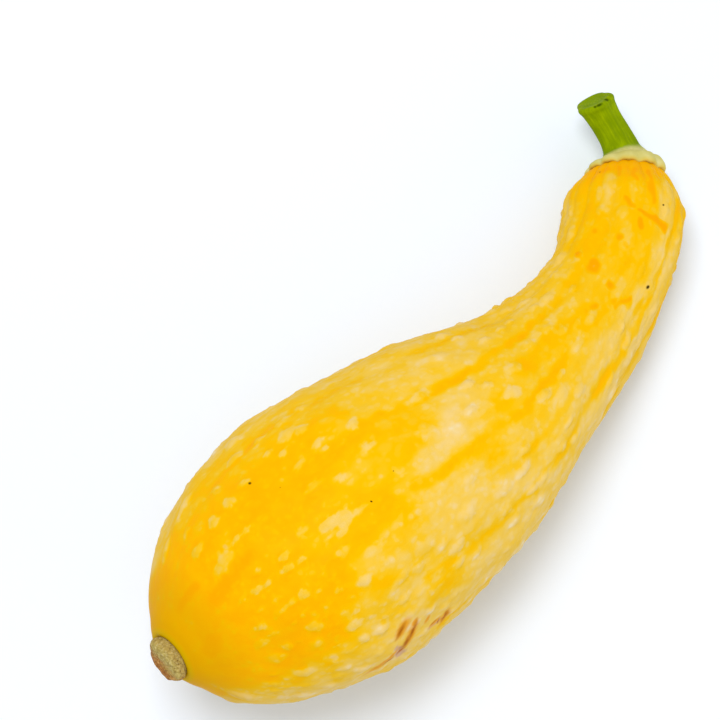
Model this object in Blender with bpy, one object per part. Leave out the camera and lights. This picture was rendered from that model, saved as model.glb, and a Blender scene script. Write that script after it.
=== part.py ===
"""A yellow crookneck squash as picked, lying on its side.

The fruit is one ribbed and warted solid, drawn as rings round a bent axis: its bulb lies along +X and
its neck crooks towards +Y. A green stem, cut short, stands on the shoulder with a pale foot, and a corky
button marks where the flower fell off. Metres, +Z up, the origin under the middle of the whole squash.
"""

import random

import bmesh
import bpy
import numpy as np

MM = 0.001

# The axis: it starts at the blossom end, and all distances along it are measured from there
AXIS_START = np.array([-97.5, -9.2, 53.0]) * MM
AXIS_STEP = 0.5 * MM
AXIS_SPARE = 6.0 * MM
CURVE_STEPS = 24
FRUIT_LENGTH = 204.5 * MM
NECK_TURN = 50.5
NECK_BEND = (113.0 * MM, 214.0 * MM)
BULB_SLOPE = 9.9
BLOSSOM_LIFT = 11.5
BLOSSOM_LIFT_END = 48.0 * MM

# Small sideways bends of the axis, as (distance along, reach, shift to the right) in mm
SWAYS_MM = [(15.0, 25.0, -0.8), (112.0, 17.0, 1.1), (150.0, 18.0, -0.8)]

# The skin's section, as (distance along the axis, radius) in mm: the scar's seat and its rim, the bulb,
# the neck, the shoulder and the middle of the shoulder under the stem
SKIN_SECTION_MM = [
    (0.3, 0.0), (0.3, 4.6), (-0.8, 6.6), (0.5, 9.4), (3.2, 12.9), (6.4, 17.4), (12.0, 23.4), (22.0, 30.4),
    (38.0, 35.9), (60.0, 37.9), (83.0, 35.3), (108.0, 29.5), (128.0, 23.4), (148.0, 19.4), (166.0, 17.9),
    (183.0, 18.2), (194.0, 16.9), (200.0, 12.8), (203.5, 7.0), (204.5, 0.0),
]
SEAT_ROWS = 2
SKIN_STEPS = 900
SHOULDER_FROM_SHARE = 0.9
SHOULDER_STEPS = 240
WIDEST = 60.0 * MM

# The ribs: the grooves between them, in degrees round the axis from its right side over the top, and
# how deep they are, as (distance along the axis, depth) in mm. On the neck each rib has a groove of its own.
GROOVES = (8, 42, 78, 111, 139, 170, 201, 232, 263, 294, 327)
GROOVE_DEPTH_MM = [
    (0.0, 0.0), (14.0, 0.25), (45.0, 0.4), (105.0, 0.5), (130.0, 0.75), (165.0, 0.8), (186.0, 1.0),
    (196.5, 1.7), (201.0, 0.9), (203.5, 0.2), (204.5, 0.0),
]
GROOVE_SHARPNESS = 0.7
RIB_WANDER = 3.0
RIB_WANDER_LENGTH = 90.0 * MM
RIB_WANDER_CREST = 140.0 * MM
MID_RIB_FROM = (95.0 * MM, 185.0 * MM)
MID_RIB_SHARE = 0.75

# The skin is a little uneven all over
SWELL_HEIGHT = 0.3 * MM
SWELL_LENGTHS = (47.0 * MM, 71.0 * MM)
SWELL_FADE = (185.0 * MM, 198.0 * MM)
SWELL_PHASE = 1.3

# The warts that one notices first, as (along, around, length, width, height) in mm and degrees
NOTED_WARTS = [
    (15.3, 123, 3.6, 4.6, 0.7), (23.2, 124, 3.8, 5.0, 0.7), (30, 124, 4.4, 4.6, 0.7),
    (37, 126, 4.6, 4.0, 0.5), (24, 108.5, 4.2, 2.4, 0.6), (27.3, 108, 3.4, 2.6, 0.6),
    (48, 129, 4.0, 2.4, 0.5), (50, 124, 3.4, 3.2, 0.6), (54.5, 130, 6.5, 5.5, 0.7),
    (58, 127, 5.0, 4.6, 0.7), (51, 115, 3.6, 3.2, 0.5), (58, 117, 4.8, 2.6, 0.6),
    (58.6, 113, 3.0, 2.6, 0.5), (68.5, 114, 3.6, 4.4, 0.7), (17.5, 137, 3.4, 3.0, 0.5),
    (31, 137, 3.8, 3.0, 0.5), (41, 142, 6.5, 4.4, 0.7), (49, 140, 4.0, 3.4, 0.6),
    (24, 152, 8.5, 4.0, 0.6), (12.5, 153, 6.0, 4.0, 0.5), (15, 84, 2.4, 2.6, 0.4),
    (19, 83.5, 4.2, 2.8, 0.6), (22.3, 83, 2.8, 2.6, 0.5), (22, 90, 3.0, 2.0, 0.4),
    (30.6, 88, 4.4, 3.0, 0.7), (29.6, 83, 4.0, 3.0, 0.7), (34, 82.5, 3.2, 2.4, 0.6),
    (43, 83, 2.4, 2.2, 0.4), (46, 87.5, 5.0, 4.4, 0.9), (50, 85.5, 4.4, 6.2, 0.9),
    (47.6, 81.8, 4.0, 2.8, 0.7), (54.6, 84.5, 4.4, 2.6, 0.6), (56, 99, 3.4, 3.2, 0.6),
    (67, 102, 4.6, 3.0, 0.6), (15, 65.5, 2.8, 3.6, 0.5), (25, 69.5, 4.2, 3.0, 0.5),
    (29, 70, 3.8, 3.6, 0.7), (25.5, 62, 2.6, 2.2, 0.4), (22.6, 60, 2.2, 2.2, 0.4),
    (27, 54, 4.8, 4.8, 0.7), (18.5, 48, 3.2, 3.4, 0.5), (38, 64, 3.4, 2.8, 0.6),
    (45, 61.5, 5.0, 3.6, 0.7), (43, 37, 4.4, 4.0, 0.7), (38, 38, 3.8, 3.2, 0.6), (96, 91, 5.0, 3.6, 0.7),
    (101, 103, 6.0, 3.6, 0.7), (117, 75, 5.6, 4.6, 0.7), (125.5, 76, 3.4, 2.8, 0.5),
    (161, 142, 6.0, 5.0, 0.8), (189, 88.5, 3.0, 3.4, 0.4),
]

# The smaller warts are strewn at random: close together on the right side and the neck, few on the
# golden top and left of the bulb
WART_SEED = 41
WART_TRIES = 1100
WART_LENGTH = (3.8 * MM, 7.6 * MM)
WART_WIDTH_SHARE = (0.55, 0.9)
WART_HEIGHT = (0.35 * MM, 0.65 * MM)
WART_SPACING = 0.84
WART_ENDS = (8.0 * MM, 190.0 * MM)
GOLDEN_RIGHT_EDGE = (55.0, 80.0)
GOLDEN_LEFT_EDGE = (150.0, 185.0)
GOLDEN_END = (85.0 * MM, 125.0 * MM)
BLOSSOM_END = (15.0 * MM, 45.0 * MM)
MOST_WARTS, FEWER_ON_TOP, FEWER_AT_BLOSSOM = 0.95, 0.8, 0.5
WART_OUTLINE_WAVES = ((2, 0.16), (3, 0.12), (5, 0.07))
WART_SHOULDER = 0.8
UNDERNEATH = 270.0
UNDERNEATH_HALF_WIDTH = 34.0
UNDERNEATH_EASE = (0.6, 1.0)
UNDERNEATH_HEIGHT_SHARE = 0.25

# The stem: its section as (distance past the fruit's end, radius) in mm, from the lower edge of the
# foot's rim to the cut end, with five ribs that fade into the foot. The foot follows the shoulder.
STEM_LENGTH = 21.0 * MM
STEM_TURN = 34.0
STEM_BEND = (-6.0 * MM, 14.0 * MM)
STEM_RISE = 22.0
STEM_RISE_FROM = -2.0 * MM
STEM_SECTION_MM = [
    (-1.8, 10.1), (-1.2, 10.7), (-0.4, 10.3), (0.6, 8.8), (1.8, 6.9), (3.3, 5.9), (6.5, 5.35), (11.0, 5.05),
    (15.5, 5.1), (18.6, 5.5), (20.5, 5.8), (21.0, 5.4), (20.8, 3.0), (20.6, 0.0),
]
UNDERSIDE_SHARE = 0.2
STEM_STEPS = 400
FOOT_GAP = 0.4 * MM
FOOT_EASE = (-1.0 * MM, 3.0 * MM)
STEM_RIB_COUNT = 5
STEM_RIB_DEPTH = 0.11
STEM_RIB_EASE = (1.5 * MM, 6.0 * MM)
STEM_RIB_PHASE = 20.0
CUT_SLANT = 0.22
CUT_FACING = 80.0
CUT_EASE = (8.0 * MM, 21.0 * MM)
FOOT_TOP = 2.6 * MM

# The scar: its section as (distance along the axis, radius) in mm, from the seat to its outer face
SCAR_SECTION_MM = [
    (0.0, 0.0), (0.0, 4.1), (-0.6, 5.1), (-1.5, 5.7), (-2.5, 5.9), (-3.1, 5.3), (-3.4, 3.5), (-3.2, 0.0),
]
SCAR_STEPS = 200
SCAR_LUMPS = 0.22 * MM
SCAR_LUMPS_PHASE = 0.7
SCAR_LUMPS_FROM = (-2.0 * MM, -1.0 * MM)

# Lines round and along each piece and the triangles it keeps, and the flat spots that the squash rests on
FRUIT_GRID, FRUIT_TRIANGLES = (320, 240), 11000
STEM_GRID, STEM_TRIANGLES = (80, 72), 1600
SCAR_GRID, SCAR_TRIANGLES = (48, 36), 500
TABLE_CUT_SIZE = (0.24, 0.14, 0.01)
SMOOTH_ANGLE = 40.0

SKIN_YELLOW = (0.95, 0.52, 0.02, 1.0)
STEM_GREEN = (0.26, 0.38, 0.01, 1.0)
FOOT_PALE = (0.72, 0.62, 0.2, 1.0)
SCAR_TAN = (0.5, 0.4, 0.14, 1.0)


def eased(value, start, end):
    """0 before start, 1 past end, and a smooth rise between."""
    t = np.clip((value - start) / (end - start), 0.0, 1.0)
    return t * t * (3.0 - 2.0 * t)


def curve_through(points, count):
    """A smooth curve through the points, read at equal steps of its length."""
    p = np.array(points, float)
    p = np.vstack([2.0 * p[0] - p[1], p, 2.0 * p[-1] - p[-2]])
    t = np.linspace(0.0, 1.0, CURVE_STEPS, endpoint=False)[:, None]
    pieces = []
    for before, start, end, after in zip(p, p[1:], p[2:], p[3:]):
        reach = [np.linalg.norm(b - a) for a, b in ((before, start), (start, end), (end, after))]
        leave = ((start - before) / reach[0] * reach[1] + (end - start) / reach[1] * reach[0])
        leave *= reach[1] / (reach[0] + reach[1])
        arrive = ((end - start) / reach[1] * reach[2] + (after - end) / reach[2] * reach[1])
        arrive *= reach[1] / (reach[1] + reach[2])
        pieces.append(
            (2 * t**3 - 3 * t**2 + 1) * start + (t**3 - 2 * t**2 + t) * leave
            + (3 * t**2 - 2 * t**3) * end + (t**3 - t**2) * arrive
        )
    curve = np.vstack(pieces + [p[-2:-1]])
    length = np.r_[0.0, np.cumsum(np.linalg.norm(np.diff(curve, axis=0), axis=1))]
    steps = np.linspace(0.0, length[-1], count)
    return np.stack([np.interp(steps, length, column) for column in curve.T], axis=1)


def bent_axis():
    """The axis as distances, points, and the directions to the right of it and above it."""
    along = np.arange(-AXIS_SPARE, FRUIT_LENGTH + STEM_LENGTH + AXIS_SPARE, AXIS_STEP)
    past_fruit = along - FRUIT_LENGTH
    turn = NECK_TURN * eased(along, *NECK_BEND) + STEM_TURN * eased(past_fruit, *STEM_BEND)
    slope = -BULB_SLOPE * np.cos(np.radians(turn))
    slope -= BLOSSOM_LIFT * (1.0 - eased(along, 0.0, BLOSSOM_LIFT_END))
    slope += STEM_RISE * eased(past_fruit, STEM_RISE_FROM, STEM_LENGTH)
    turn, slope = np.radians(turn), np.radians(slope)
    ahead = np.stack([np.cos(slope) * np.cos(turn), np.cos(slope) * np.sin(turn), np.sin(slope)], axis=1)
    right = np.stack([np.sin(turn), -np.cos(turn), 0.0 * turn], axis=1)
    points = np.cumsum(ahead * AXIS_STEP, axis=0)
    points += AXIS_START - points[np.searchsorted(along, 0.0)]
    for middle, reach, shift in SWAYS_MM:
        points += right * (shift * MM * np.exp(-((along / MM - middle) / reach) ** 2))[:, None]
    return along, points, right, np.cross(right, ahead)


AXIS = bent_axis()


def place(along, out, around):
    """Points at a distance along the axis, out from it and at an angle round it."""
    centre, right, above = (
        np.stack([np.interp(along, AXIS[0], column) for column in table.T], axis=-1) for table in AXIS[1:]
    )
    angle = np.radians(around)[..., None]
    return centre + (np.cos(angle) * right + np.sin(angle) * above) * np.asarray(out)[..., None]


def groove_depth(along, around):
    """How far the skin lies below the ribs' crests: nothing on a crest, the full depth in a groove."""
    wander = RIB_WANDER * np.cos(2.0 * np.pi * (along - RIB_WANDER_CREST) / RIB_WANDER_LENGTH)
    edges = np.array(GROOVES + (GROOVES[0] + 360,))
    rib = np.interp((around - wander - edges[0]) % 360.0, edges - edges[0], range(len(edges)))
    groove = 1.0 - np.abs(np.sin(np.pi * rib)) ** GROOVE_SHARPNESS
    mid_rib = 1.0 - np.abs(np.cos(np.pi * rib)) ** GROOVE_SHARPNESS
    stations, depths = np.array(GROOVE_DEPTH_MM).T * MM
    share = groove + MID_RIB_SHARE * eased(along, *MID_RIB_FROM) * mid_rib
    return share * np.interp(along, stations, depths)


def swell(along, around):
    """The broad, low unevenness of the whole fruit."""
    angle = np.radians(around)
    first, second = (2.0 * np.pi * along / length for length in SWELL_LENGTHS)
    fade = eased(along, 0.0, WART_ENDS[0]) * (1.0 - eased(along, *SWELL_FADE))
    return SWELL_HEIGHT * fade * (np.sin(first + 2.0 * angle + SWELL_PHASE) + np.sin(second - 3.0 * angle))


def wart_chance(along, around):
    """How likely a small wart is at a place: the golden top and left of the bulb have few."""
    on_top = eased(around, *GOLDEN_RIGHT_EDGE) * (1.0 - eased(around, *GOLDEN_LEFT_EDGE))
    on_bulb = 1.0 - eased(along, *GOLDEN_END)
    near_blossom = 1.0 - eased(along, *BLOSSOM_END)
    return MOST_WARTS - FEWER_ON_TOP * on_top * on_bulb - FEWER_AT_BLOSSOM * near_blossom * (1.0 - on_top)


def radius_at(along):
    """The skin's plain radius at a distance along the axis."""
    section = np.array(SKIN_SECTION_MM[SEAT_ROWS:]) * MM
    return np.interp(along, section[:, 0], section[:, 1])


def all_warts():
    """The noted warts, then the small ones: place, half length, half width, height and outline waves."""
    draw = random.Random(WART_SEED)
    warts = []
    for along, around, length, width, height in NOTED_WARTS:
        waves = [draw.uniform(0.0, 2.0 * np.pi) for _ in WART_OUTLINE_WAVES]
        warts.append((along * MM, around, length * MM / 2, width * MM / 2, height * MM, waves))
    for _ in range(WART_TRIES):
        along = draw.uniform(*WART_ENDS)
        around = draw.uniform(0.0, 360.0)
        half = draw.uniform(*WART_LENGTH) / 2
        half_width = half * draw.uniform(*WART_WIDTH_SHARE)
        height = draw.uniform(*WART_HEIGHT)
        waves = [draw.uniform(0.0, 2.0 * np.pi) for _ in WART_OUTLINE_WAVES]
        radius = radius_at(along)
        if draw.random() > wart_chance(along, around) * radius / radius_at(WIDEST):
            continue
        apart = (
            np.hypot(along - w[0], np.radians((around - w[1] + 180.0) % 360.0 - 180.0) * radius)
            > WART_SPACING * (half + w[2])
            for w in warts
        )
        if all(apart):
            warts.append((along, around, half, half_width, height, waves))
    return warts


WARTS = all_warts()


def wart_height(along, around, radius):
    """How far the warts raise the skin: a low cushion with a wavy outline for each."""
    height = np.zeros_like(along)
    for wart_along, wart_around, half, half_width, top, waves in WARTS:
        ahead = along - wart_along
        near = np.abs(ahead) < 2.0 * half
        beside = np.radians((around[near] - wart_around + 180.0) % 360.0 - 180.0) * radius[near]
        ahead = ahead[near]
        angle = np.arctan2(beside, ahead)
        reach = 1.0 + sum(
            size * np.sin(count * angle + wave) for (count, size), wave in zip(WART_OUTLINE_WAVES, waves)
        )
        inside = 1.0 - np.hypot(ahead / half, beside / half_width) / reach
        height[near] = np.maximum(height[near], top * eased(inside, 0.0, WART_SHOULDER))
    beneath = np.abs(around - UNDERNEATH) / UNDERNEATH_HALF_WIDTH
    return height * (1.0 - (1.0 - UNDERNEATH_HEIGHT_SHARE) * (1.0 - eased(beneath, *UNDERNEATH_EASE)))


def section_with_normals(points_mm, count):
    """A section's distances and radii, and the directions in which its surface faces."""
    section = curve_through(points_mm, count) * MM
    step = np.gradient(section, axis=0)
    step /= np.linalg.norm(step, axis=1)[:, None]
    return section[:, 0], section[:, 1], -step[:, 1], step[:, 0]


def skin_points(share, around):
    """The fruit's distances along the axis and radii, at a share of its section and an angle."""
    shares = np.linspace(0.0, 1.0, SKIN_STEPS)
    table = section_with_normals(SKIN_SECTION_MM, SKIN_STEPS)
    along, radius, face_along, face_out = (np.interp(share, shares, column) for column in table)
    relief = wart_height(along, around, radius) + swell(along, around) - groove_depth(along, around)
    return along + face_along * relief, np.maximum(radius + face_out * relief, 0.0)


def fruit_points(share, around):
    along, out = skin_points(share, around)
    return place(along, out, around)


def shoulder_height(out, around):
    """Where the fruit's shoulder is, along the axis, at a distance out from it."""
    share = np.linspace(SHOULDER_FROM_SHARE, 1.0, SHOULDER_STEPS)
    height = np.empty_like(out)
    for angle in np.unique(around):
        here = around == angle
        along, radius = skin_points(share, np.full_like(share, angle))
        height[here] = np.interp(out[here], radius[::-1], along[::-1])
    return height


def stem_points(share, around):
    """The stem from the middle of its foot's underside, over the foot's rim and up to the cut end."""
    section = curve_through(STEM_SECTION_MM, STEM_STEPS) * MM
    steps = np.linspace(UNDERSIDE_SHARE, 1.0, STEM_STEPS)
    past = np.interp(share, steps, section[:, 0])
    out = np.interp(share, steps, section[:, 1])
    foot_radius = section[0, 1]
    rim = FRUIT_LENGTH + section[0, 0]
    rim_follows = shoulder_height(np.full_like(out, foot_radius), around) + FOOT_GAP - rim
    along = FRUIT_LENGTH + past + rim_follows * (1.0 - eased(past, *FOOT_EASE))
    along -= CUT_SLANT * out * np.cos(np.radians(around - CUT_FACING)) * eased(past, *CUT_EASE)
    ribs = 0.5 - 0.5 * np.cos(np.radians(STEM_RIB_COUNT * (around - STEM_RIB_PHASE)))
    out *= 1.0 - STEM_RIB_DEPTH * ribs * eased(past, *STEM_RIB_EASE)
    under = share < UNDERSIDE_SHARE
    out[under] = foot_radius * share[under] / UNDERSIDE_SHARE
    along[under] = shoulder_height(out[under], around[under]) + FOOT_GAP
    return place(along, out, around)


def scar_points(share, around):
    """The scar from its outer face to the bottom of its seat, with an uneven edge."""
    section = curve_through(SCAR_SECTION_MM[::-1], SCAR_STEPS) * MM
    steps = np.linspace(0.0, 1.0, SCAR_STEPS)
    along = np.interp(share, steps, section[:, 0])
    out = np.interp(share, steps, section[:, 1])
    angle = np.radians(around)
    lumps = SCAR_LUMPS * (1.0 - eased(along, *SCAR_LUMPS_FROM)) * out / section[:, 1].max()
    out += lumps * (np.sin(3.0 * angle + SCAR_LUMPS_PHASE) + np.sin(5.0 * angle))
    along += lumps * np.sin(2.0 * angle)
    return place(along, out, around)


def material(name, colour, roughness):
    made = bpy.data.materials.new(name)
    made.use_nodes = True
    shader = made.node_tree.nodes["Principled BSDF"]
    shader.inputs["Base Color"].default_value = colour
    shader.inputs["Roughness"].default_value = roughness
    shader.inputs["Metallic"].default_value = 0.0
    made.diffuse_color = colour
    return made


def wrapped_sphere(name, grid, points_at, collection, surface):
    """A UV sphere whose pole-to-pole lines are bent onto the section that points_at gives."""
    bm = bmesh.new()
    bmesh.ops.create_uvsphere(bm, u_segments=grid[0], v_segments=grid[1], radius=1.0)
    sphere = np.array([vert.co for vert in bm.verts])
    share = np.arccos(np.clip(sphere[:, 2], -1.0, 1.0)) / np.pi
    around = np.round(np.degrees(np.arctan2(sphere[:, 1], sphere[:, 0])), 3) % 360.0
    for vert, point in zip(bm.verts, points_at(share, around)):
        vert.co = point
    mesh = bpy.data.meshes.new(name)
    bm.to_mesh(mesh)
    bm.free()
    mesh.materials.append(surface)
    mesh.shade_smooth()
    mesh.set_sharp_from_angle(angle=np.radians(SMOOTH_ANGLE))
    piece = bpy.data.objects.new(name, mesh)
    collection.objects.link(piece)
    return piece


def fewer_triangles(piece, triangles):
    """Keeps the triangles where the relief needs them."""
    fewer = piece.modifiers.new("Fewer triangles", "DECIMATE")
    fewer.decimate_type = "COLLAPSE"
    fewer.ratio = triangles / sum(len(face.vertices) - 2 for face in piece.data.polygons)


def pale_foot(piece, surface):
    """Gives the pale surface to the stem's faces on the fruit's side of the top of the foot."""
    piece.data.materials.append(surface)
    top = FRUIT_LENGTH + FOOT_TOP
    middle, to_right, to_above = place(np.full(3, top), np.array([0.0, MM, MM]), np.array([0.0, 0.0, 90.0]))
    ahead = np.cross(to_above - middle, to_right - middle)
    for face in piece.data.polygons:
        if np.dot(np.array(face.center) - middle, ahead) < 0.0:
            face.material_index = 1


def cut_flat(piece, collection):
    """Cuts the flat spots at table height with a thin block under the fruit."""
    bm = bmesh.new()
    bmesh.ops.create_cube(bm, size=1.0)
    bmesh.ops.scale(bm, vec=TABLE_CUT_SIZE, verts=bm.verts)
    bmesh.ops.translate(bm, vec=(0.0, 0.0, -TABLE_CUT_SIZE[2] / 2), verts=bm.verts)
    mesh = bpy.data.meshes.new("table_cut")
    bm.to_mesh(mesh)
    bm.free()
    cutter = bpy.data.objects.new("table_cut", mesh)
    cutter.hide_render = True
    cutter.display_type = "WIRE"
    collection.objects.link(cutter)
    cut = piece.modifiers.new("Flat spots", "BOOLEAN")
    cut.operation = "DIFFERENCE"
    cut.object = cutter


def new_collection(name):
    made = bpy.data.collections.new(name)
    bpy.context.scene.collection.children.link(made)
    return made


for leftover in list(bpy.data.objects):
    bpy.data.objects.remove(leftover, do_unlink=True)

squash = new_collection("crookneck_squash")
cutters = new_collection("cutters")

fruit = wrapped_sphere(
    "fruit", FRUIT_GRID, fruit_points, squash, material("Squash skin", SKIN_YELLOW, 0.35)
)
fewer_triangles(fruit, FRUIT_TRIANGLES)
cut_flat(fruit, cutters)

stem = wrapped_sphere("stem", STEM_GRID, stem_points, squash, material("Stem skin", STEM_GREEN, 0.5))
pale_foot(stem, material("Foot of the stem", FOOT_PALE, 0.45))
fewer_triangles(stem, STEM_TRIANGLES)

scar = wrapped_sphere("blossom_scar", SCAR_GRID, scar_points, squash, material("Cork", SCAR_TAN, 0.85))
fewer_triangles(scar, SCAR_TRIANGLES)
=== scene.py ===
"""A yellow crookneck squash as picked, lying on its side on a pale table: the looks of its three pieces."""

import random

import bpy
import numpy as np
from mathutils import Matrix, Vector, kdtree, noise


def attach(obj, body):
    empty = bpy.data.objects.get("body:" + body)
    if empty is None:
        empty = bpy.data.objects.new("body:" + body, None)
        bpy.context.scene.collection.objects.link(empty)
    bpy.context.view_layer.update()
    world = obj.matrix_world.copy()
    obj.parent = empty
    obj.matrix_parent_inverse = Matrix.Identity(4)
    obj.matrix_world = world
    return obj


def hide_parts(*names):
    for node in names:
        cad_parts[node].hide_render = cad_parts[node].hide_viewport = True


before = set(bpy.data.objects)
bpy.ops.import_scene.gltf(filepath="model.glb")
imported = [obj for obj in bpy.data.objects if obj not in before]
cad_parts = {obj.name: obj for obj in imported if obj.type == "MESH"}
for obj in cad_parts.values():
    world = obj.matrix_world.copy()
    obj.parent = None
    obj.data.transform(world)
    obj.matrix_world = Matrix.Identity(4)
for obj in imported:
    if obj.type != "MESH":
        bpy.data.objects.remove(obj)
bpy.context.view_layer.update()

# The fruit
# The swollen pod of a squash vine: firm pale flesh under a thin waxed skin, grown round a bent axis with
# a wide bulb, a crooked neck, shallow ribs and many low warts. It is one piece, and it rests on two spots.

MM = 0.001
AXIS_START = np.array([-97.5, -9.2, 53.0]) * MM
AXIS_STEP = 0.5 * MM
AXIS_SPARE = 6.0 * MM
FRUIT_LENGTH = 204.5 * MM
NECK_TURN = 50.5
NECK_BEND = (113.0 * MM, 214.0 * MM)
BULB_SLOPE = 9.9
BLOSSOM_LIFT = 11.5
BLOSSOM_LIFT_END = 48.0 * MM

# Small sideways bends of the axis, as (distance along, reach, shift to the right) in mm
SWAYS_MM = [(15.0, 25.0, -0.8), (112.0, 17.0, 1.1), (150.0, 18.0, -0.8)]

# The stem carries the axis on, past the fruit's end
STEM_LENGTH = 21.0 * MM
STEM_TURN = 34.0
STEM_BEND = (-6.0 * MM, 14.0 * MM)
STEM_RISE = 22.0
STEM_RISE_FROM = -2.0 * MM

# The skin's section, as (distance along the axis, radius) in mm, from the scar's seat to the shoulder
SKIN_SECTION_MM = [
    (0.3, 0.0), (0.3, 4.6), (-0.8, 6.6), (0.5, 9.4), (3.2, 12.9), (6.4, 17.4), (12.0, 23.4), (22.0, 30.4),
    (38.0, 35.9), (60.0, 37.9), (83.0, 35.3), (108.0, 29.5), (128.0, 23.4), (148.0, 19.4), (166.0, 17.9),
    (183.0, 18.2), (194.0, 16.9), (200.0, 12.8), (203.5, 7.0), (204.5, 0.0),
]
SEAT_ROWS = 2
CURVE_STEPS = 24
WIDEST = 60.0 * MM
SKIN_STEPS = 1800
SKIN_SIDES = 40
SKIN_RING_GAP = 8.5
SKIN_LEVELS = 3

# The grooves between the ribs, in degrees round the axis from its right side over the top, and their
# depth as (distance along the axis, depth) in mm
GROOVES = (8, 42, 78, 111, 139, 170, 201, 232, 263, 294, 327)
GROOVE_DEPTH_MM = [
    (0.0, 0.0), (14.0, 0.25), (45.0, 0.4), (105.0, 0.5), (130.0, 0.8), (165.0, 1.0), (186.0, 1.3),
    (196.5, 2.1), (201.0, 1.2), (203.5, 0.2), (204.5, 0.0),
]
GROOVE_SHARPNESS = 0.7
NECK_SOFTNESS = 0.5
NECK_SOFT_FROM = (105.0 * MM, 150.0 * MM)
RIB_WANDER = 3.0
RIB_WANDER_LENGTH = 90.0 * MM
RIB_WANDER_CREST = 140.0 * MM
MID_RIB_FROM = (95.0 * MM, 185.0 * MM)
MID_RIB_SHARE = 0.75
SWELL_HEIGHT = 0.3 * MM
SWELL_LENGTHS = (47.0 * MM, 71.0 * MM)
SWELL_START = 8.0 * MM
SWELL_FADE = (185.0 * MM, 198.0 * MM)
SWELL_PHASE = 1.3

# The warts that one notices first, as (along, around, length, width, height) in mm and degrees
NOTED_WARTS = [
    (15.3, 123, 3.6, 4.6, 0.7), (23.2, 124, 3.8, 5.0, 0.7), (30, 124, 4.4, 4.6, 0.7),
    (37, 126, 4.6, 4.0, 0.5), (24, 108.5, 4.2, 2.4, 0.6), (27.3, 108, 3.4, 2.6, 0.6),
    (48, 129, 4.0, 2.4, 0.5), (50, 124, 3.4, 3.2, 0.6), (54.5, 130, 6.5, 5.5, 0.7),
    (58, 127, 5.0, 4.6, 0.7), (51, 115, 3.6, 3.2, 0.5), (58, 117, 4.8, 2.6, 0.6),
    (58.6, 113, 3.0, 2.6, 0.5), (68.5, 114, 3.6, 4.4, 0.7), (17.5, 137, 3.4, 3.0, 0.5),
    (31, 137, 3.8, 3.0, 0.5), (41, 142, 6.5, 4.4, 0.7), (49, 140, 4.0, 3.4, 0.6),
    (24, 152, 8.5, 4.0, 0.6), (12.5, 153, 6.0, 4.0, 0.5), (15, 84, 2.4, 2.6, 0.4),
    (19, 83.5, 4.2, 2.8, 0.6), (22.3, 83, 2.8, 2.6, 0.5), (22, 90, 3.0, 2.0, 0.4),
    (30.6, 88, 4.4, 3.0, 0.7), (29.6, 83, 4.0, 3.0, 0.7), (34, 82.5, 3.2, 2.4, 0.6),
    (43, 83, 2.4, 2.2, 0.4), (46, 87.5, 5.0, 4.4, 0.9), (50, 85.5, 4.4, 6.2, 0.9),
    (47.6, 81.8, 4.0, 2.8, 0.7), (54.6, 84.5, 4.4, 2.6, 0.6), (56, 99, 3.4, 3.2, 0.6),
    (67, 102, 4.6, 3.0, 0.6), (15, 65.5, 2.8, 3.6, 0.5), (25, 69.5, 4.2, 3.0, 0.5),
    (29, 70, 3.8, 3.6, 0.7), (25.5, 62, 2.6, 2.2, 0.4), (22.6, 60, 2.2, 2.2, 0.4),
    (27, 54, 4.8, 4.8, 0.7), (18.5, 48, 3.2, 3.4, 0.5), (38, 64, 3.4, 2.8, 0.6),
    (45, 61.5, 5.0, 3.6, 0.7), (43, 37, 4.4, 4.0, 0.7), (38, 38, 3.8, 3.2, 0.6), (96, 91, 5.0, 3.6, 0.7),
    (101, 103, 6.0, 3.6, 0.7), (117, 75, 5.6, 4.6, 0.7), (125.5, 76, 3.4, 2.8, 0.5),
    (161, 142, 6.0, 5.0, 0.8), (189, 88.5, 3.0, 3.4, 0.4),
]

# The smaller warts are strewn at random: close together on the right side and the neck, few on the
# golden top and left of the bulb. Still smaller ones fill in on the right of its golden end. A row has the
# tries, the ranges of along, around, length and height, the spacing and whether the top has fewer.
WART_SEED = 41
STREWN_WARTS = [
    (1100, (8.0 * MM, 190.0 * MM), (0.0, 360.0), (3.8 * MM, 7.6 * MM), (0.35 * MM, 0.65 * MM), 0.84, True),
    (420, (13.0 * MM, 66.0 * MM), (8.0, 76.0), (2.2 * MM, 4.4 * MM), (0.22 * MM, 0.4 * MM), 1.0, False),
]
WART_WIDTH_SHARE = (0.55, 0.9)
GOLDEN_RIGHT_EDGE = (55.0, 80.0)
GOLDEN_LEFT_EDGE = (150.0, 185.0)
GOLDEN_END = (85.0 * MM, 125.0 * MM)
BLOSSOM_END = (15.0 * MM, 45.0 * MM)
MOST_WARTS, FEWER_ON_TOP, FEWER_AT_BLOSSOM = 0.95, 0.8, 0.5

# Each wart is a low cushion with a wavy outline and a pale top, flatter on golden skin and underneath
WART_OUTLINE_WAVES = ((2, 0.12), (3, 0.07), (5, 0.05))
WART_SHOULDER = 0.8
WART_STAND = 1.15
GOLDEN_WART_FLATTER = 0.35
WART_TINT = (-0.1, 0.45)
WART_TINT_FULL_HEIGHT = 0.65 * MM
WART_TINT_STRETCH = 1.25
UNDERNEATH = 270.0
UNDERNEATH_HALF_WIDTH = 34.0
UNDERNEATH_EASE = (0.6, 1.0)
UNDERNEATH_HEIGHT_SHARE = 0.25

# The skin's fine unevenness: pebbles where it is pale, and dimples and soft lumps all over
PEBBLE_CELL_MM = (2.1, 2.1, 2.8)
PEBBLE_HEIGHT = 0.2 * MM
PEBBLE_EDGE = 0.35
DIMPLE_CELL_MM = 6.0
DIMPLE_HEIGHT = 0.2 * MM
LUMP_CELL_MM = (10.0, 10.0, 14.0)
LUMP_HEIGHT = 0.8 * MM
FINE_SKIN_FROM, FINE_SKIN_TO = (8.0 * MM, 20.0 * MM), (192.0 * MM, 200.0 * MM)

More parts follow.
